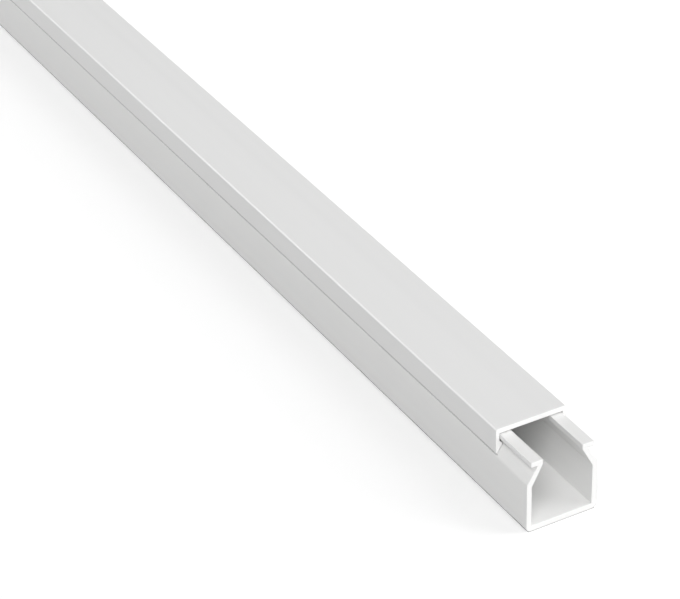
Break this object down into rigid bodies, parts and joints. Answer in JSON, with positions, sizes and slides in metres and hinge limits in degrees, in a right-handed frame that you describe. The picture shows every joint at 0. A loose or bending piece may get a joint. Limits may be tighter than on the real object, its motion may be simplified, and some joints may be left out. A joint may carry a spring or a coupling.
{
  "type": "cord cover raceway",
  "caption": "Straight length of small white cable trunking: a channel with inturned, flanged shoulders and a clip-over hooked lid slid back to show the open end.",
  "frame": {"origin": "centre of the base channel's underside, the face that lies on the wall", "axes": "+X across the section, +Y along the length away from the open front end, +Z out from the wall face through the lid"},
  "size_m": [0.016, 0.411, 0.0174],
  "materials": {
    "base_pvc": "satin white PVC",
    "lid_pvc": "satin white PVC"
  },
  "bodies": {
    "channel": {"base_channel": "base_pvc"},
    "lid": {"snap_lid": "lid_pvc"}
  },
  "joints": [
    {"name": "lid_slide", "type": "slide", "parent": "channel", "child": "lid", "axis": [0, 1, 0], "range_m": [-0.011, 0.189]}
  ]
}
